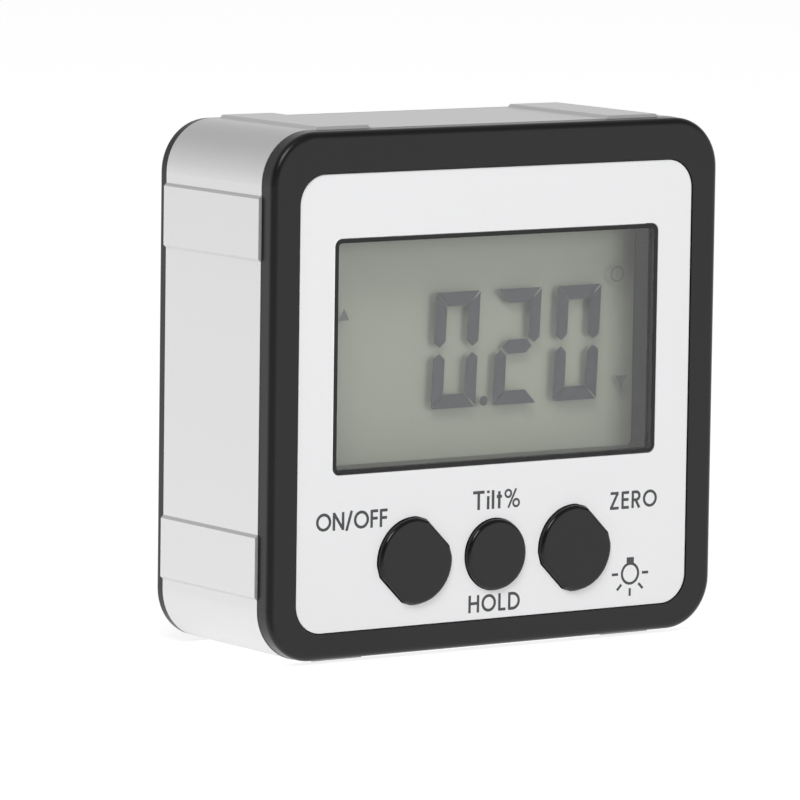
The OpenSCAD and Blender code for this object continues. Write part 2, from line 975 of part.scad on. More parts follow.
module rear_cover() {
    color(black)
        difference() {
            union() {
                cover_blank();
                slab(cover_y - spigot_len, cover_y)
                    spigot_section();
                slab(cover_y - rim_t, cover_y)
                    translate([0, mid_z])
                        square([tray_w, rim_h], center = true);
                slab(tray_y, cover_y)
                    translate([0, mid_z])
                        square([tray_w, tray_h], center = true);
            }
            difference() {
                slab(tray_in_y, cover_y + past)
                    translate([0, mid_z])
                        square([tray_in_w, tray_in_h], center = true);
                slab(tray_in_y - past, tray_in_y + rib_h)
                    translate([0, mid_z])
                        square([2 * (contact_x - tab_gap), rib_t], center = true);
            }
            slab(cover_y, rear_y + past)
                door_outline(door_gap);
            slab(cover_y, door_y + tongue_t + door_gap)
                door_outline(tongue_w + door_gap);
            slab(cover_y - seal_t, cover_y)
                seal_groove();
            slab(cover_y - past, rear_y + past)
                at_corners_flat()
                    circle(d = screw_d + 2 * screw_gap);
            slab(rear_head_y - head_h, rear_y + past)
                at_corners_flat()
                    circle(d = head_d + 2 * screw_gap);
            slab(tray_y - past, tray_in_y + past)
                tab_sections(tab_gap);
        }
}

// One groove of the door's finger grip, with round ends
module groove_outline() {
    square([grip_w, grip_len - grip_w], center = true);
    for (end = [-1, 1])
        translate([0, end * (grip_len - grip_w) / 2])
            circle(d = grip_w);
}

module battery_door() {
    color(black)
        difference() {
            intersection() {
                cover_blank();
                union() {
                    slab(door_y, rear_y + past)
                        door_outline(0);
                    slab(door_y, door_y + tongue_t)
                        door_outline(tongue_w);
                }
            }
            slab(rear_y - grip_depth, rear_y + past)
                for (i = [0 : grip_count - 1])
                    translate([door_left + grip_inset + i * grip_pitch, mid_z])
                        groove_outline();
        }
}

// Cell lying along X, with its terminal to the right, or to the left when turned
module cell(turn) {
    body_len = cell_len - nub_len;
    rotate([0, turn, 0])
        translate([contact_x - cell_len, 0, 0])
            rotate([0, 90, 0])
                rotate_extrude() {
                    intersection() {
                        edge_profile(cell_d / 2, body_len, cell_edge);
                        translate([0, body_len])
                            mirror([0, 1])
                                edge_profile(cell_d / 2, body_len, cell_edge);
                    }
                    square([nub_d / 2, cell_len]);
                }
}

module upper_cell() {
    color([0.25, 0.35, 0.5])
        translate([0, cell_y, mid_z + cell_z])
            cell(0);
}

module lower_cell() {
    color([0.25, 0.35, 0.5])
        translate([0, cell_y, mid_z - cell_z])
            cell(180);
}

// Contact plate against an end of the tray
module contact_plate(x, h, z) {
    translate([x, cell_y - contact_w / 2, z - h / 2])
        cube([contact_t, contact_w, h]);
}

module bridge_contact() {
    color(nickel)
        contact_plate(-contact_x - contact_t, cell_pitch + contact_w, mid_z);
}

// Contact plate with a solder tab that goes through the tray's floor into the board
module tabbed_contact(z) {
    contact_plate(contact_x, contact_w, z);
    slab(board_y, cell_y)
        intersection() {
            tab_sections(0);
            translate([contact_x, z - contact_w / 2])
                square([contact_w, contact_w]);
        }
}

module positive_contact() {
    color(nickel)
        tabbed_contact(mid_z + cell_z);
}

module negative_contact() {
    color(nickel)
        tabbed_contact(mid_z - cell_z);
}

// Tapered coil of round wire along X, from its plate at 0 to its tip at spring_len
spring_sides = 6;
spring_steps = 14;

function coil_point(t) =
    let (r = spring_r + (spring_tip_r - spring_r) * t)
    let (a = 360 * spring_turns * t)
    [spring_wire / 2 + (spring_len - spring_wire) * t, r * cos(a), r * sin(a)];

function wire_ring(t) =
    let (a = 360 * spring_turns * t)
    [for (i = [0 : spring_sides - 1])
        let (b = 360 * i / spring_sides)
        coil_point(t) + spring_wire / 2 * [cos(b), sin(b) * cos(a), sin(b) * sin(a)]];

module coil_spring() {
    rings = spring_turns * spring_steps;
    points = [for (k = [0 : rings]) each wire_ring(k / rings)];
    sides = [for (k = [0 : rings - 1], i = [0 : spring_sides - 1])
        let (j = (i + 1) % spring_sides)
        let (a = k * spring_sides)
        let (b = a + spring_sides)
        each [[a + i, b + i, b + j], [a + i, b + j, a + j]]];
    start = [for (i = [1 : spring_sides - 2]) [0, i, i + 1]];
    last = rings * spring_sides;
    finish = [for (i = [1 : spring_sides - 2]) [last, last + i + 1, last + i]];
    polyhedron(points, concat(sides, start, finish));
}

module cell_springs() {
    color(nickel) {
        translate([-contact_x, cell_y, mid_z + cell_z])
            coil_spring();
        translate([contact_x, cell_y, mid_z - cell_z])
            rotate([0, 0, 180])
                coil_spring();
    }
}

case_frame();
front_bezel();
front_label();
display_window();
front_seal();
rear_seal();
rear_cover();
battery_door();
front_screws();
rear_screws();
base_magnets();
left_key();
middle_key();
right_key();
left_plunger();
middle_plunger();
right_plunger();
left_switch();
middle_switch();
right_switch();
lcd_glass();
lcd_reflector();
light_guide();
backlight_lamps();
lcd_holder();
contact_strip();
circuit_board();
board_screws();
main_chip();
tilt_sensor();
clock_crystal();
chip_resistors();
chip_capacitors();
upper_cell();
lower_cell();
bridge_contact();
positive_contact();
negative_contact();
cell_springs();
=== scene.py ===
import math

import bmesh
import bpy
from mathutils import Matrix, Vector


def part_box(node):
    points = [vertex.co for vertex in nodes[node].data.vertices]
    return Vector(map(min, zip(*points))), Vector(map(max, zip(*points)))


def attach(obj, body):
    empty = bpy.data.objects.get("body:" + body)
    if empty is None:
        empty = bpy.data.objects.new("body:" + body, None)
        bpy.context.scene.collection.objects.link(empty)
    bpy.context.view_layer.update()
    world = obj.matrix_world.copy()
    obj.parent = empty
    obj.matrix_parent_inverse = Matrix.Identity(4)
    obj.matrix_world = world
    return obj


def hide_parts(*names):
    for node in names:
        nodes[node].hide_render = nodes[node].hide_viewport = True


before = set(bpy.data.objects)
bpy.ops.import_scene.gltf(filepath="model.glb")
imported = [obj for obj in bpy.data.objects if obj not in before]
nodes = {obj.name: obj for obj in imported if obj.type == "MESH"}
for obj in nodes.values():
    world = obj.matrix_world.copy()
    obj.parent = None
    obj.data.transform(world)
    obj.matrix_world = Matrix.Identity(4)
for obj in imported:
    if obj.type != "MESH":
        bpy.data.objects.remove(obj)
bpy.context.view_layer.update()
scene = bpy.context.scene
scene.view_settings.view_transform = "Standard"


# Case frame: a length of extruded aluminium with two raised rails on each of its four sides.
# It is bead blasted, sawn to length and clear anodised, which leaves a pale satin skin with a fine
# grain, faint draw lines that run the way it left the die, from front to rear, and matt sawn ends.
MM = 0.001
GRAIN_HEIGHT = 0.04
DRAW_LINE_HEIGHT = 0.03
DRAW_LINE_STRETCH = 0.012
SKIN_METALLIC = 0.92
SAWN_METALLIC = 0.1
SAWN_GREY = (0.42, 0.42, 0.42)
SAWN_DEPTH = 0.02


def shader(material):
    """A material's node tree and its Principled shader."""
    material.use_nodes = True
    tree = material.node_tree
    return tree, tree.nodes["Principled BSDF"]


def give(tree, socket, value):
    """Feeds a socket from another one, or gives it a value of its own."""
    if isinstance(value, bpy.types.NodeSocket):
        tree.links.new(value, socket)
    else:
        socket.default_value = value


def feed(tree, node, values):
    """Gives a node's sockets and settings their values, by name."""
    for name, value in values.items():
        if name in node.inputs:
            give(tree, node.inputs[name], value)
        else:
            setattr(node, name, value)


def put(tree, kind, **values):
    """Adds a node with its values."""
    node = tree.nodes.new(kind)
    feed(tree, node, values)
    return node


def figure(tree, operation, *values, kind="ShaderNodeMath", result="Value"):
    """Result of a Math or Vector Math node on its values in order."""
    node = put(tree, kind, operation=operation)
    for socket, value in zip(node.inputs, values):
        give(tree, socket, value)
    return node.outputs[result]


def blend(tree, kind, factor, start, end):
    """Goes from start to end with the factor: numbers for FLOAT, colours for RGBA."""
    node = put(tree, "ShaderNodeMix", data_type=kind, Factor=factor, A=start, B=end)
    return node.outputs["Result"]


def spread(tree, value, low, high):
    """Maps a value from 0..1 to low..high."""
    node = put(tree, "ShaderNodeMapRange", **{"Value": value, "To Min": low, "To Max": high})
    return node.outputs["Result"]


def place_on(tree):
    """A point's place on its piece."""
    return tree.nodes.new("ShaderNodeTexCoord").outputs["Object"]


def place_along(tree, axis):
    """A point's place along one axis of its piece."""
    return put(tree, "ShaderNodeSeparateXYZ", Vector=place_on(tree)).outputs[axis]


def grain_group():
    """Fine even grain and slow clouds: Grain for bumps and tone, Cloud for tone and gloss."""
    group = bpy.data.node_groups.new("fine_grain", "ShaderNodeTree")
    for name, scale in (("Grain", 6000.0), ("Cloud", 90.0)):
        socket = group.interface.new_socket(name + " Scale", in_out="INPUT", socket_type="NodeSocketFloat")
        socket.default_value = scale
        group.interface.new_socket(name, in_out="OUTPUT", socket_type="NodeSocketFloat")
    given = group.nodes.new("NodeGroupInput")
    made = group.nodes.new("NodeGroupOutput")
    place = place_on(group)
    for name, detail, rough in (("Grain", 3.0, 0.6), ("Cloud", 2.0, 0.5)):
        noise = put(group, "ShaderNodeTexNoise", Vector=place, Scale=given.outputs[name + " Scale"],
                    Detail=detail, Roughness=rough)
        give(group, made.inputs[name], noise.outputs["Fac"])
    return group


fine_grain = grain_group()


def grain_and_cloud(tree, grain_scale, cloud_scale):
    """Places the grain in a material and returns its two values."""
    node = put(tree, "ShaderNodeGroup", node_tree=fine_grain,
               **{"Grain Scale": grain_scale, "Cloud Scale": cloud_scale})
    return node.outputs["Grain"], node.outputs["Cloud"]


def grained(name, dark, light, rough, bump, grain_scale=6000.0, cloud_scale=90.0,
            metallic=0.0, specular=0.5):
    """Surface whose tone follows grain and clouds in equal shares, and its gloss the clouds."""
    material = bpy.data.materials.new(name)
    tree, bsdf = shader(material)
    grain, cloud = grain_and_cloud(tree, grain_scale, cloud_scale)
    tone = figure(tree, "MULTIPLY_ADD", grain, 0.5, spread(tree, cloud, 0.0, 0.5))
    relief = put(tree, "ShaderNodeBump", Strength=bump, Distance=GRAIN_HEIGHT * MM, Height=grain)
    feed(tree, bsdf, {"Base Color": blend(tree, "RGBA", tone, (*dark, 1), (*light, 1)),
                      "Roughness": spread(tree, cloud, *rough),
                      "Normal": relief.outputs["Normal"],
                      "Metallic": metallic, "Specular IOR Level": specular})
    return material


def fed_by(bsdf, name):
    """The socket that feeds one of a shader's sockets."""
    return bsdf.inputs[name].links[0].from_socket


def paint_over(tree, bsdf, mask, colour):
    """Puts a colour over the base colour where the mask is 1."""
    painted = blend(tree, "RGBA", mask, fed_by(bsdf, "Base Color"), (*colour, 1))
    give(tree, bsdf.inputs["Base Color"], painted)


def finish_nodes(material, *names):
    """Gives solids of the frame their material."""
    for name in names:
        for slot in nodes[name].material_slots:
            slot.material = material


def anodised_aluminium():
    material = grained("anodised_aluminium", dark=(0.64, 0.64, 0.645), light=(0.72, 0.72, 0.725),
                       rough=(0.34, 0.42), bump=0.25, grain_scale=5200.0, cloud_scale=60.0)
    tree, bsdf = shader(material)
    drawn = put(tree, "ShaderNodeMapping", Vector=place_on(tree), Scale=(1.0, DRAW_LINE_STRETCH, 1.0))
    lines = put(tree, "ShaderNodeTexNoise", Vector=drawn.outputs["Vector"], Scale=2600.0, Detail=2.0)
    relief = put(tree, "ShaderNodeBump", Strength=0.12, Distance=DRAW_LINE_HEIGHT * MM,
                 Height=lines.outputs["Fac"], Normal=fed_by(bsdf, "Normal"))
    low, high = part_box("case_frame")
    middle = (low[1] + high[1]) / 2
    reach = (high[1] - low[1]) / 2 - SAWN_DEPTH * MM
    skin = figure(tree, "COMPARE", place_along(tree, "Y"), middle, reach)
    paint_over(tree, bsdf, spread(tree, skin, 1.0, 0.0), SAWN_GREY)
    feed(tree, bsdf, {"Normal": relief.outputs["Normal"],
                      "Metallic": spread(tree, skin, SAWN_METALLIC, SKIN_METALLIC)})
    return material


finish_nodes(anodised_aluminium(), "case_frame")


# Base magnets: four nickel-plated discs, pressed and glued into pockets in the two base rails.
# The plating is bright, with duller patches from standing on steel.
nickel_plate = grained("nickel_plate", dark=(0.55, 0.53, 0.48), light=(0.7, 0.68, 0.62),
                       rough=(0.18, 0.34), bump=0.12, grain_scale=2500.0, cloud_scale=400.0, metallic=1.0)
finish_nodes(nickel_plate, "base_magnets")


# Front bezel: one black moulding with the window well, the key holes, the lips that locate it in
# the frame and the posts for the board. Its face carries the fine spark texture of the mould.
moulded_black = grained("moulded_black", dark=(0.004, 0.004, 0.004), light=(0.009, 0.009, 0.009),
                        rough=(0.25, 0.33), bump=0.22, grain_scale=4200.0, cloud_scale=120.0,
                        specular=0.34)
finish_nodes(moulded_black, "front_bezel")


# Front seal and rear seal: rubber rings in the grooves between the mouldings and the frame.
# Each is moulded in one piece and lies dull and black against the aluminium.
seal_rubber = grained("seal_rubber", dark=(0.015, 0.015, 0.015), light=(0.03, 0.03, 0.03),
                      rough=(0.7, 0.85), bump=0.3, grain_scale=3000.0)
finish_nodes(seal_rubber, "front_seal", "rear_seal")


# Screws: small zinc-plated machine screws. Four with a cross recess under the label and four through
# the rear cover go into the frame, and four smaller ones hold the board on its posts.
zinc_plate = grained("zinc_plate", dark=(0.42, 0.42, 0.43), light=(0.58, 0.58, 0.59),
                     rough=(0.25, 0.4), bump=0.15, grain_scale=3000.0, cloud_scale=500.0, metallic=1.0)
finish_nodes(zinc_plate, "front_screws", "rear_screws", "board_screws")


# Display film: the grey-green reflector that shows behind the segments, bonded to the rear glass.
# A sheet of matt plastic film as wide as that glass; it reaches a hair into the bond line, so that
# the glass sits on it.
FILM_REACH = 0.02
FILM_MARGIN = 0.05
FILM_BELOW = 0.1
FILM_EDGE = 0.04


def corners(node):
    """The two corners of a node's box, in millimetres."""
    low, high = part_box(node)
    return [v / MM for v in low], [v / MM for v in high]


def new_piece(name, bm, material):
    """An object with its place in its mesh."""
    mesh = bpy.data.meshes.new(name)
    bm.to_mesh(mesh)
    bm.free()
    mesh.materials.append(material)
    piece = bpy.data.objects.new(name, mesh)
    scene.collection.objects.link(piece)
    return piece


def display_film():
    low, high = corners("lcd_reflector")
    glass_low, glass_high = corners("lcd_glass")
    low = [glass_low[0] + FILM_MARGIN, low[1] - FILM_REACH, low[2] - FILM_BELOW]
    high = [glass_high[0] - FILM_MARGIN, high[1], glass_high[2] - FILM_MARGIN]
    bm = bmesh.new()
    bmesh.ops.create_cube(bm, size=1.0)
    bmesh.ops.scale(bm, vec=[(b - a) * MM for a, b in zip(low, high)], verts=bm.verts)
    bmesh.ops.translate(bm, vec=[(a + b) / 2 * MM for a, b in zip(low, high)], verts=bm.verts)
    bmesh.ops.bevel(bm, geom=bm.edges[:], offset=FILM_EDGE * MM, offset_type="OFFSET", affect="EDGES",
                    segments=2, profile=0.5, material=-1)
    material = grained("display_film", dark=(0.27, 0.29, 0.235), light=(0.31, 0.33, 0.27),
                       rough=(0.45, 0.6), bump=0.0, grain_scale=1500.0, cloud_scale=45.0)
    film = new_piece("display_film", bm, material)
    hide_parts("lcd_reflector")
    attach(film, "case")


display_film()


# Display glass: two sheets of thin glass bonded together round their edges, with the liquid between.
# The front sheet reaches lower, where the contact strip presses on its clear electrodes.
def smears(tree, low, high):
    """Roughness of a wiped sheet, which drifts from low to high in faint smears."""
    cloud = grain_and_cloud(tree, grain_scale=900.0, cloud_scale=70.0)[1]
    return spread(tree, cloud, low, high)


def display_glass():
    material = bpy.data.materials.new("display_glass")
    tree, bsdf = shader(material)
    feed(tree, bsdf, {"Base Color": (0.4, 0.44, 0.4, 1), "Alpha": 0.03, "IOR": 1.49,
                      "Roughness": smears(tree, 0.08, 0.16)})
    return material


finish_nodes(display_glass(), "lcd_glass")


# Display segments: thin dark shapes in the liquid between the two glasses, driven by the electrodes.
# They show 0.20 with its point, the degree ring and the two marks that point up and down. A line of
# grey resin near the edge of the glasses closes the liquid in.
SEGMENT_Y = -5.6
SEGMENT_DEPTH = 0.01
DIGIT_WIDTH = 5.55
DIGIT_HEIGHT = 11.95
DIGIT_LEAN = 0.5
DIGIT_FOOT = 24.4
DIGITS = ((-5.1, "abcdef"), (2.6, "abged"), (10.2, "abcdef"))  # left edge and lit bars
BAR = 1.46
SLIT = 0.1
POINT_PLACE = (1.5, 24.95)
POINT_RADIUS = 0.52
UP_MARK = ((-16.6, 34.05), (-15.25, 34.05), (-15.9, 35.25))
DOWN_MARK = ((18.25, 26.65), (19.7, 26.65), (18.98, 25.3))
DEGREE_PLACE = (18.25, 37.27)
DEGREE_RADII = (0.66, 0.86)
SEAL_OUTSIDE = (22.1, 18.6, 43.3)  # half width, bottom and top
SEAL_INSIDE = (20.4, 19.3, 42.45)


def thicken(bm, faces, depth):
    """Gives flat faces a small depth towards the rear, in millimetres."""
    made = bmesh.ops.extrude_face_region(bm, geom=faces)
    moved = [v for v in made["geom"] if isinstance(v, bmesh.types.BMVert)]
    bmesh.ops.translate(bm, vec=(0, depth * MM, 0), verts=moved)


def ink_block(bm, outline, y, depth):
    """Flat shape with an outline in X and Z, in millimetres."""
    verts = [bm.verts.new((x * MM, y * MM, z * MM)) for x, z in outline]
    thicken(bm, [bm.faces.new(verts)], depth)


def dot_block(bm, x, z, radius, y, depth):
    """Flat round dot, in millimetres."""
    upright = Matrix.Rotation(math.pi / 2, 4, "X") @ Matrix.Rotation(math.pi / 2, 4, "Z")
    place = Matrix.Translation((x * MM, y * MM, z * MM)) @ upright
    made = bmesh.ops.create_circle(bm, cap_ends=True, segments=18, radius=radius * MM, matrix=place)
    thicken(bm, made["verts"][0].link_faces[:], depth)


def ring_block(bm, x, z, radii, y, depth):
    """Flat ring about an axis along Y, in millimetres."""
    edge = [bm.verts.new(((x + r) * MM, y * MM, z * MM)) for r in radii]
    line = bm.edges.new(edge)
    before = set(bm.faces)
    bmesh.ops.spin(bm, geom=[line, *edge], cent=(x * MM, y * MM, z * MM), axis=(0, 1, 0),
                   angle=2 * math.pi, steps=32, use_merge=True)
    thicken(bm, [f for f in bm.faces if f not in before], depth)


def closed_line(bm, points, y):
    """Closed line of edges through points in X and Z, in millimetres."""
    verts = [bm.verts.new((x * MM, y * MM, z * MM)) for x, z in points]
    return [bm.edges.new(pair) for pair in zip(verts, verts[1:] + verts[:1])]


def flat_band(bm, lines, depth):
    """Fills the space between two closed lines, one inside the other."""
    thicken(bm, bmesh.ops.bridge_loops(bm, edges=lines)["faces"], depth)


def case_piece(name, bm, material):
    """A piece that is fixed to the case."""
    bmesh.ops.recalc_face_normals(bm, faces=bm.faces)
    piece = new_piece(name, bm, material)
    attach(piece, "case")


def segment_outlines():
    """A digit's seven bars by letter: a to f go round it from the top, and g crosses its middle."""
    w, h, t, g = DIGIT_WIDTH, DIGIT_HEIGHT, BAR, SLIT
    m = h / 2
    top = [(g, h), (w - g, h), (w - t - g, h - t), (t + g, h - t)]
    middle = [(t / 2 + 2 * g, m), (t + 2 * g, m + t / 2), (w - t - 2 * g, m + t / 2),
              (w - t / 2 - 2 * g, m), (w - t - 2 * g, m - t / 2), (t + 2 * g, m - t / 2)]
    upper_left = [(0, h - g), (t, h - t - g), (t, m + t / 2 + 2 * g), (t / 2, m + 3 * g),
                  (0, m + t / 2 + g)]

    def across(points):
        return [(w - x, z) for x, z in points]

    def below(points):
        return [(x, h - z) for x, z in points]

    upper_right = across(upper_left)
    return {"a": top, "b": upper_right, "c": below(upper_right), "d": below(top),
            "e": below(upper_left), "f": upper_left, "g": middle}


def liquid(name, dark, light):
    """Liquid that its electrodes have darkened."""
    return grained(name, dark, light, rough=(0.4, 0.5), bump=0.0, grain_scale=3000.0, cloud_scale=200.0)


def display_segments():
    shapes = segment_outlines()
    bm = bmesh.new()
    for left, lit in DIGITS:
        for letter in lit:
            outline = [(left + x + DIGIT_LEAN * z / DIGIT_HEIGHT, DIGIT_FOOT + z)
                       for x, z in shapes[letter]]
            ink_block(bm, outline, SEGMENT_Y, SEGMENT_DEPTH)
    dot_block(bm, *POINT_PLACE, POINT_RADIUS, SEGMENT_Y, SEGMENT_DEPTH)
    dark = liquid("liquid_segments", (0.02, 0.022, 0.031), (0.028, 0.03, 0.04))
    case_piece("display_segments", bm, dark)


def display_marks():
    bm = bmesh.new()
    for mark in (UP_MARK, DOWN_MARK):
        ink_block(bm, mark, SEGMENT_Y, SEGMENT_DEPTH)
    ring_block(bm, *DEGREE_PLACE, DEGREE_RADII, SEGMENT_Y, SEGMENT_DEPTH)
    pale = liquid("liquid_marks", (0.085, 0.09, 0.09), (0.11, 0.115, 0.11))
    case_piece("display_marks", bm, pale)


def display_seal():
    bm = bmesh.new()
    lines = []
    for x, low, high in (SEAL_OUTSIDE, SEAL_INSIDE):
        lines += closed_line(bm, [(-x, low), (x, low), (x, high), (-x, high)], SEGMENT_Y)
    flat_band(bm, lines, SEGMENT_DEPTH)
    resin = grained("seal_resin", dark=(0.15, 0.16, 0.135), light=(0.19, 0.2, 0.17),
                    rough=(0.4, 0.5), bump=0.0, grain_scale=1500.0, cloud_scale=120.0)
    case_piece("display_seal", bm, resin)


display_segments()
display_marks()
display_seal()


# Display holder, light guide, lamps and contact strip: the white moulded frame round the glass,
# the clear slab behind the film with a small lamp at each end, and the striped rubber connector.
STRIPE_BLACK = (0.05, 0.04, 0.04)
holder_plastic = grained("holder_plastic", dark=(0.66, 0.66, 0.63), light=(0.76, 0.76, 0.73),
                         rough=(0.4, 0.5), bump=0.2)
guide_plastic = grained("guide_plastic", dark=(0.78, 0.8, 0.78), light=(0.86, 0.88, 0.86),
                        rough=(0.1, 0.2), bump=0.05)
lamp_resin = grained("lamp_resin", dark=(0.8, 0.72, 0.36), light=(0.88, 0.82, 0.5),
                     rough=(0.15, 0.3), bump=0.05)


def striped_rubber():
    material = grained("striped_rubber", dark=(0.4, 0.16, 0.2), light=(0.5, 0.22, 0.27),
                       rough=(0.6, 0.75), bump=0.2)
    tree, bsdf = shader(material)
    stripes = put(tree, "ShaderNodeTexWave", bands_direction="X", Vector=place_on(tree), Scale=3200.0)
    paint_over(tree, bsdf, stripes.outputs["Fac"], STRIPE_BLACK)
    return material


finish_nodes(holder_plastic, "lcd_holder")
finish_nodes(guide_plastic, "light_guide")
finish_nodes(lamp_resin, "backlight_lamps")
finish_nodes(striped_rubber(), "contact_strip")


# Circuit board with its chips and switches: green solder mask over copper tracks, black moulded
# chips and a plated crystal can soldered on the back, and push switches with pale plungers in front.
def solder_mask():
    material = grained("solder_mask", dark=(0.012, 0.12, 0.05), light=(0.02, 0.18, 0.08),
                       rough=(0.3, 0.42), bump=0.1)
    tree, bsdf = shader(material)
    upright = put(tree, "ShaderNodeMapping", Vector=place_on(tree), Rotation=(math.pi / 2, 0, 0))
    tracks = put(tree, "ShaderNodeTexBrick", Vector=upright.outputs["Vector"], Scale=420.0,
                 Color1=(0.02, 0.2, 0.09, 1), Color2=(0.015, 0.15, 0.06, 1), Mortar=(0.05, 0.3, 0.13, 1))
    give(tree, bsdf.inputs["Base Color"], tracks.outputs["Color"])
    return material


chip_black = grained("chip_black", dark=(0.022, 0.022, 0.024), light=(0.04, 0.04, 0.042),
                     rough=(0.5, 0.65), bump=0.3)
chip_brown = grained("chip_brown", dark=(0.38, 0.26, 0.13), light=(0.5, 0.36, 0.2),
                     rough=(0.45, 0.6), bump=0.2)
plunger_plastic = grained("plunger_plastic", dark=(0.52, 0.52, 0.49), light=(0.62, 0.62, 0.59),
                          rough=(0.35, 0.45), bump=0.15)
finish_nodes(solder_mask(), "circuit_board")
finish_nodes(chip_black, "main_chip", "tilt_sensor", "chip_resistors")
finish_nodes(chip_black, "left_switch", "middle_switch", "right_switch")
finish_nodes(chip_brown, "chip_capacitors")
finish_nodes(zinc_plate, "clock_crystal")
finish_nodes(plunger_plastic, "left_plunger", "middle_plunger", "right_plunger")


# Keys: three black caps with rounded rims, moulded in a smoother, glossier plastic than the bezel.
# A flange holds each one behind it, and a stem reaches down to its switch.
key_plastic = grained("key_plastic", dark=(0.004, 0.004, 0.004), light=(0.007, 0.007, 0.007),
                      rough=(0.13, 0.19), bump=0.06, grain_scale=5000.0, cloud_scale=160.0,
                      specular=0.34)
finish_nodes(key_plastic, "left_key", "middle_key", "right_key")


# Front label: a white polycarbonate film with a satin face, printed in dark grey and stuck into the
# recess of the bezel. It names what the keys do; the strip above the window stays bare.
INK_Y = -10.36
INK_DEPTH = 0.012
INK_LAYER = 0.0005
LETTER_PEN = 0.165
PERCENT_PEN = 0.12
LAMP_PEN = 0.28
LAMP_RADII = (0.9, 1.18)
LAMP_CAP = ((-0.46, 1.02), (0.46, 1.02), (0.46, 1.7), (-0.46, 1.7))
LAMP_RAYS = (180, 225, 270, 315, 360)
RAY_FROM = 1.54
RAY_TO = 2.34
STEM = ("bar", 0.07, 0, 0.07, 1)
# Each letter's width and its strokes, as shares of its height
GLYPHS = {
    "O": (0.98, [("arc", 0.49, 0.5, 0.42, 0, 360)]),
    "N": (0.74, [STEM, ("bar", 0.07, 0.95, 0.67, 0.05), ("bar", 0.67, 0, 0.67, 1)]),
    "/": (0.42, [("bar", 0.04, -0.06, 0.38, 1.04)]),
    "F": (0.5, [STEM, ("bar", 0.07, 0.93, 0.5, 0.93), ("bar", 0.07, 0.52, 0.47, 0.52)]),
    "T": (0.74, [("bar", 0, 0.93, 0.74, 0.93), ("bar", 0.37, 0, 0.37, 0.93)]),
    "i": (0.14, [("bar", 0.07, 0, 0.07, 0.7), ("bar", 0.07, 0.86, 0.07, 1)]),
    "l": (0.14, [STEM]),
    "t": (0.34, [("bar", 0.16, 0, 0.16, 0.92), ("bar", 0, 0.64, 0.33, 0.64)]),
    "%": (0.98, [("arc", 0.23, 0.76, 0.19, 0, 360), ("arc", 0.75, 0.24, 0.19, 0, 360),
                 ("bar", 0.24, 0, 0.74, 1)]),
    "H": (0.72, [STEM, ("bar", 0.65, 0, 0.65, 1), ("bar", 0.07, 0.53, 0.65, 0.53)]),
    "L": (0.5, [STEM, ("bar", 0.07, 0.07, 0.5, 0.07)]),
    "D": (0.8, [STEM, ("bar", 0.07, 0.93, 0.32, 0.93), ("bar", 0.07, 0.07, 0.32, 0.07),
                ("arc", 0.3, 0.5, 0.43, -90, 90)]),
    "Z": (0.62, [("bar", 0.03, 0.93, 0.6, 0.93), ("bar", 0.54, 0.93, 0.07, 0.07),
                 ("bar", 0, 0.07, 0.62, 0.07)]),
    "E": (0.52, [STEM, ("bar", 0.07, 0.93, 0.52, 0.93), ("bar", 0.07, 0.53, 0.49, 0.53),
                 ("bar", 0.07, 0.07, 0.52, 0.07)]),
    "R": (0.6, [STEM, ("bar", 0.07, 0.93, 0.33, 0.93), ("bar", 0.07, 0.47, 0.33, 0.47),
                ("arc", 0.31, 0.7, 0.23, -90, 90), ("bar", 0.28, 0.47, 0.54, 0)]),
}


def ink_stroke(bm, stroke, x, z, cap, y, pen):
    """One stroke of a letter that is as tall as cap and starts at x and z, in millimetres.

    An edge as wide as the pen is drawn along a line or swept round an arc. The stroke's numbers and
    the pen are shares of cap: both ends of a bar, or an arc's middle, radius and two angles.
    """
    def place(px, pz):
        return Vector((x + px * cap, y, z + pz * cap)) * MM

    kind, *numbers = stroke
    if kind == "bar":
        x0, z0, x1, z1 = numbers
        length = math.hypot(x1 - x0, z1 - z0)
        across = ((z0 - z1) / length, (x1 - x0) / length)
        ends = [(x0 + s * across[0], z0 + s * across[1]) for s in (pen / 2, -pen / 2)]
    else:
        x0, z0, radius, low, high = numbers
        a = math.radians(low)
        ends = [(x0 + r * math.cos(a), z0 + r * math.sin(a)) for r in (radius - pen / 2, radius + pen / 2)]
    verts = [bm.verts.new(place(*end)) for end in ends]
    line = bm.edges.new(verts)
    before = set(bm.faces)
    if kind == "bar":
        made = bmesh.ops.extrude_edge_only(bm, edges=[line])
        moved = [v for v in made["geom"] if isinstance(v, bmesh.types.BMVert)]
        bmesh.ops.translate(bm, vec=place(x1, z1) - place(x0, z0), verts=moved)
    else:
        full = high - low == 360
        bmesh.ops.spin(bm, geom=[line, *verts], cent=place(x0, z0), axis=(0, -1, 0),
                       angle=math.radians(high - low), steps=32 if full else 16, use_merge=full)
    thicken(bm, [f for f in bm.faces if f not in before], INK_DEPTH)


def label_word(bm, word, x, z, cap, width):
    """A word centred on x and z, with letters as tall as cap and spread to the width."""
    letters = sum(GLYPHS[letter][0] for letter in word)
    gap = (width / cap - letters) / (len(word) - 1)
    left = x - width / 2
    for letter in word:
        wide, strokes = GLYPHS[letter]
        pen = PERCENT_PEN if letter == "%" else LETTER_PEN
        for layer, stroke in enumerate(strokes):
            ink_stroke(bm, stroke, left, z - cap / 2, cap, INK_Y - layer * INK_LAYER, pen)
        left += (wide + gap) * cap


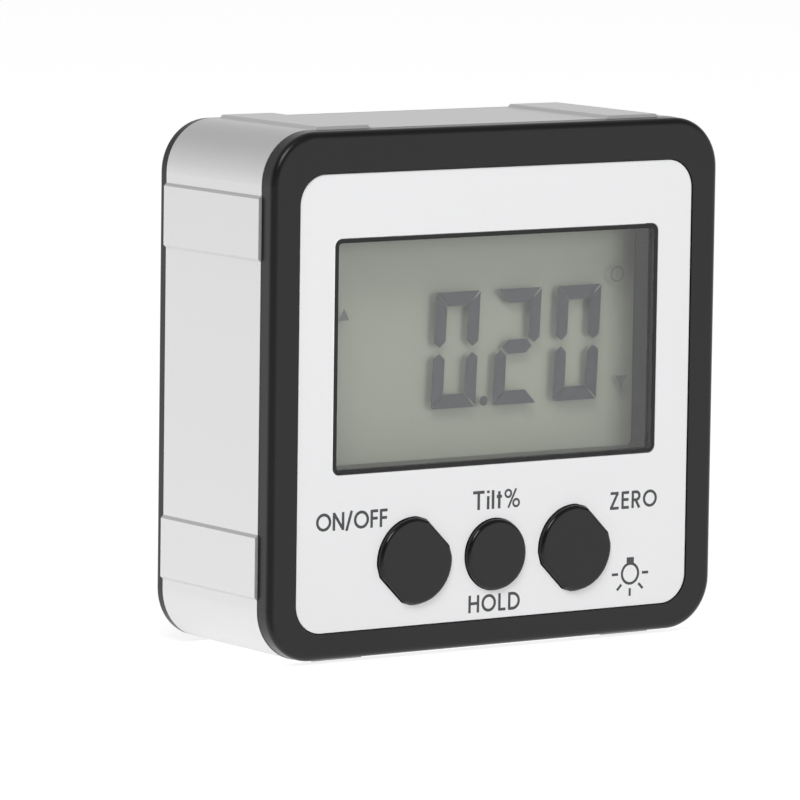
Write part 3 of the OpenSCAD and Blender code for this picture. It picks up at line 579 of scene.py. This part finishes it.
def lamp_sign(bm, x, z):
    """A lamp's sign: cap, bulb and five rays."""
    ink_block(bm, [(x + px, z + pz) for px, pz in LAMP_CAP], INK_Y - INK_LAYER, INK_DEPTH)
    ring_block(bm, x, z, LAMP_RADII, INK_Y, INK_DEPTH)
    for angle in LAMP_RAYS:
        c, s = math.cos(math.radians(angle)), math.sin(math.radians(angle))
        ray = ("bar", RAY_FROM * c, RAY_FROM * s, RAY_TO * c, RAY_TO * s)
        ink_stroke(bm, ray, x, z, 1.0, INK_Y, LAMP_PEN)


def label_print():
    bm = bmesh.new()
    label_word(bm, "ON/OFF", x=-17.65, z=14.38, cap=1.83, width=8.65)
    label_word(bm, "Tilt%", x=0.14, z=15.38, cap=1.93, width=5.85)
    label_word(bm, "HOLD", x=0.06, z=4.76, cap=1.8, width=6.4)
    label_word(bm, "ZERO", x=17.55, z=14.25, cap=1.8, width=6.0)
    lamp_sign(bm, x=17.28, z=6.53)
    ink = grained("label_ink", dark=(0.042, 0.042, 0.045), light=(0.062, 0.062, 0.065),
                  rough=(0.4, 0.5), bump=0.1)
    case_piece("label_print", bm, ink)


label_film = grained("label_film", dark=(0.8, 0.8, 0.81), light=(0.86, 0.86, 0.87),
                     rough=(0.32, 0.42), bump=0.06, grain_scale=7000.0, cloud_scale=40.0)
finish_nodes(label_film, "front_label")
label_print()


# Window: a clear acrylic pane, flush with the label and bonded to the black ledge of the bezel.
# It has a hard gloss with faint smears, and a narrow black border is printed round its edge; behind
# the border a thin dark tape holds it.
WINDOW_CORNER = 0.8
BORDER_REACH = 0.46
PRINT_INSET = 0.02
TAPE_INSET = 0.01
TAPE_SUNK = 0.011


def looked_at(tree, path):
    """1 for what the camera sees, straight or through glass, and 0 for the other light."""
    return figure(tree, "MAXIMUM", path.outputs["Is Camera Ray"], path.outputs["Is Transmission Ray"])


def window_acrylic():
    """Glass for what is looked at through it; the light for the display goes straight in."""
    material = bpy.data.materials.new("window_acrylic")
    tree, bsdf = shader(material)
    path = tree.nodes.new("ShaderNodeLightPath")
    feed(tree, bsdf, {"Base Color": (0.97, 0.98, 0.975, 1), "Transmission Weight": 1.0, "IOR": 1.45,
                      "Roughness": smears(tree, 0.02, 0.06), "Alpha": looked_at(tree, path)})
    return material


def rounded_points(low, high, radius, steps=6):
    """Points round a rectangle with round corners, in X and Z."""
    right, top, left, bottom = high[0] - radius, high[1] - radius, low[0] + radius, low[1] + radius
    points = []
    for x, z, start in ((right, top, 0), (left, top, 90), (left, bottom, 180), (right, bottom, 270)):
        for step in range(steps + 1):
            a = math.radians(start + 90 * step / steps)
            points.append((x + radius * math.cos(a), z + radius * math.sin(a)))
    return points


def border(name, inset, y, material):
    """Flat band round the pane, from a small distance off its edge to the border's reach."""
    low, high = corners("display_window")
    bm = bmesh.new()
    lines = []
    for off in (inset, BORDER_REACH):
        points = rounded_points((low[0] + off, low[2] + off), (high[0] - off, high[2] - off),
                                WINDOW_CORNER - off)
        lines += closed_line(bm, points, y)
    flat_band(bm, lines, INK_DEPTH)
    case_piece(name, bm, material)


border_ink = grained("border_ink", dark=(0.004, 0.004, 0.004), light=(0.008, 0.008, 0.008),
                     rough=(0.3, 0.4), bump=0.05, specular=0.35)
tape_black = grained("window_tape", dark=(0.03, 0.03, 0.031), light=(0.045, 0.045, 0.047),
                     rough=(0.5, 0.6), bump=0.1)
pane_rear = corners("display_window")[1][1]
finish_nodes(window_acrylic(), "display_window")
border("window_border", PRINT_INSET, INK_Y, border_ink)
border("window_tape", TAPE_INSET, pane_rear - TAPE_SUNK, tape_black)


# Cells: two size AAA cells in a printed sleeve, dark with a pale band at the positive end, with
# their nickel-plated contacts and coil springs.
BAND_LENGTH = 11.0
BAND_COLOUR = (0.6, 0.5, 0.26)
TERMINAL_LENGTH = 1.45
TERMINAL_STEEL = (0.6, 0.58, 0.54)


def cell_sleeve(node, side):
    """Sleeve with a pale band and a bare steel terminal at the positive end, on side 1 or -1 of X."""
    material = grained(node + "_sleeve", dark=(0.04, 0.07, 0.14), light=(0.055, 0.09, 0.17),
                       rough=(0.25, 0.35), bump=0.05)
    tree, bsdf = shader(material)
    low, high = corners(node)
    end = high[0] if side > 0 else -low[0]
    along = figure(tree, "MULTIPLY", place_along(tree, "X"), side)
    band = figure(tree, "GREATER_THAN", along, (end - BAND_LENGTH) * MM)
    terminal = figure(tree, "GREATER_THAN", along, (end - TERMINAL_LENGTH) * MM)
    paint_over(tree, bsdf, band, BAND_COLOUR)
    paint_over(tree, bsdf, terminal, TERMINAL_STEEL)
    give(tree, bsdf.inputs["Metallic"], terminal)
    return material


finish_nodes(cell_sleeve("upper_cell", 1), "upper_cell")
finish_nodes(cell_sleeve("lower_cell", -1), "lower_cell")
finish_nodes(nickel_plate, "bridge_contact", "positive_contact", "negative_contact", "cell_springs")


# Rear cover and battery door: black mouldings like the bezel. The cover carries the battery tray
# and is held by four screws; the door slides out to the side on its two tongues.
finish_nodes(moulded_black, "rear_cover", "battery_door")


# Floor, light and camera: a pale table with the object's soft shadow, a white room, a large soft
# lamp from the upper left, a second one from the front that leaves no mirror image, and the
# photograph's view from the left of the front.
CASE_MIDDLE = Vector((0, 0, 0.027))
DARK_WAY = (-0.75, -0.66, 0.0)
ROOM_SHADE = 0.36
FLOOR_REACH = 3.0
FLOOR_DROP = 0.02
FLOOR_DARK_FROM = (-0.03, -0.013, 0.0)
FLOOR_GLOW = 0.18
FLOOR_SEEN_GLOW = 0.64
PICTURE_PIXELS = 800
SENSOR_WIDTH = 36.0


def ramp(tree, value, start, end, low, high):
    """Smooth change from low to high while the value goes from start to end."""
    node = put(tree, "ShaderNodeMapRange", interpolation_type="SMOOTHSTEP",
               **{"Value": value, "From Min": start, "From Max": end, "To Min": low, "To Max": high})
    return node.outputs["Result"]


def dark_side(tree, direction, least):
    """How bright the room is in a direction: least on the left of the front, 1 elsewhere."""
    unit = figure(tree, "NORMALIZE", direction, kind="ShaderNodeVectorMath", result="Vector")
    across = figure(tree, "DOT_PRODUCT", unit, DARK_WAY, kind="ShaderNodeVectorMath")
    return ramp(tree, across, start=0.4, end=0.72, low=1.0, high=least)


def room():
    """White for the camera and through glass; mirrors see it grey overhead and dark at the left."""
    world = bpy.data.worlds.new("white_room")
    scene.world = world
    world.use_nodes = True
    tree = world.node_tree
    path = tree.nodes.new("ShaderNodeLightPath")
    direction = tree.nodes.new("ShaderNodeTexCoord").outputs["Generated"]
    split = put(tree, "ShaderNodeSeparateXYZ", Vector=direction)
    front = ramp(tree, split.outputs["Z"], start=0.0, end=0.42, low=0.95, high=0.26)
    rear = ramp(tree, split.outputs["Z"], start=-0.05, end=0.95, low=0.96, high=0.42)
    to_rear = ramp(tree, split.outputs["Y"], start=-0.2, end=0.2, low=0.0, high=1.0)
    walls = blend(tree, "FLOAT", to_rear, front, rear)
    mirrored = figure(tree, "MULTIPLY", walls, dark_side(tree, direction, least=0.3))
    unseen = blend(tree, "FLOAT", path.outputs["Is Glossy Ray"], ROOM_SHADE, mirrored)
    level = blend(tree, "FLOAT", looked_at(tree, path), unseen, 1.0)
    feed(tree, tree.nodes["Background"], {"Color": (1, 1, 1, 1), "Strength": level})


def floor_white():
    """Matt grey with a glow that shows it white and keeps the shadow; it is clear from below."""
    material = bpy.data.materials.new("floor_white")
    tree, bsdf = shader(material)
    path = tree.nodes.new("ShaderNodeLightPath")
    away = figure(tree, "SUBTRACT", place_on(tree), FLOOR_DARK_FROM, kind="ShaderNodeVectorMath",
                  result="Vector")
    mirrored = figure(tree, "MULTIPLY", dark_side(tree, away, least=0.25), path.outputs["Is Glossy Ray"])
    glow = figure(tree, "MULTIPLY_ADD", looked_at(tree, path), FLOOR_SEEN_GLOW,
                  spread(tree, mirrored, FLOOR_GLOW, 1.0))
    below = tree.nodes.new("ShaderNodeNewGeometry").outputs["Backfacing"]
    feed(tree, bsdf, {"Base Color": (0.4, 0.4, 0.4, 1), "Roughness": 0.9, "Specular IOR Level": 0.0,
                      "Emission Color": (1, 1, 1, 1), "Emission Strength": glow,
                      "Alpha": spread(tree, below, 1.0, 0.0)})
    return material


def floor():
    bm = bmesh.new()
    bmesh.ops.create_grid(bm, x_segments=1, y_segments=1, size=FLOOR_REACH)
    bmesh.ops.translate(bm, vec=(0, 0, -FLOOR_DROP * MM), verts=bm.verts)
    table = new_piece("floor", bm, floor_white())


def lamp(name, place, size, power):
    """Round soft lamp that shines on the middle of the case."""
    data = bpy.data.lights.new(name, "AREA")
    data.shape = "DISK"
    data.size = size
    data.energy = power
    light = bpy.data.objects.new(name, data)
    scene.collection.objects.link(light)
    away = Vector(place) - CASE_MIDDLE
    light.matrix_world = Matrix.Translation(place) @ away.to_track_quat("Z", "Y").to_matrix().to_4x4()
    return light


def right_and_up(back):
    """A level camera's right and up, from the direction behind it."""
    right = Vector((0, 0, 1)).cross(back).normalized()
    return right, back.cross(right)


def view_camera(azimuth, elevation, roll, distance, focal, shift):
    """Camera on the left of the front, with its focal length and shift in the picture's pixels.

    The shift is how far the middle of the case lies off the picture's middle.
    """
    a, e = math.radians(azimuth), math.radians(elevation)
    back = Vector((-math.sin(a) * math.cos(e), -math.cos(a) * math.cos(e), math.sin(e)))
    place = CASE_MIDDLE + back * distance
    right, up = right_and_up(back)
    aim = CASE_MIDDLE - (right * shift[0] - up * shift[1]) * distance / focal
    back = (place - aim).normalized()
    right, up = right_and_up(back)
    turn = Matrix((right, up, back)).transposed() @ Matrix.Rotation(math.radians(roll), 3, "Z")
    data = bpy.data.cameras.new("camera")
    data.sensor_width = SENSOR_WIDTH
    data.lens = focal / PICTURE_PIXELS * SENSOR_WIDTH
    data.clip_start = 0.01
    camera = bpy.data.objects.new("camera", data)
    scene.collection.objects.link(camera)
    camera.matrix_world = Matrix.Translation(place) @ turn.to_4x4()
    scene.camera = camera


room()
floor()
lamp("upper_left_lamp", place=(-0.5, -0.6, 0.8), size=0.5, power=5.0)
lamp("front_lamp", place=(0.15, -1.0, 0.2), size=0.5, power=4.0).visible_glossy = False
view_camera(azimuth=35.0, elevation=6.5, roll=0.79, distance=0.69, focal=6697.0, shift=(38.5, -24.7))
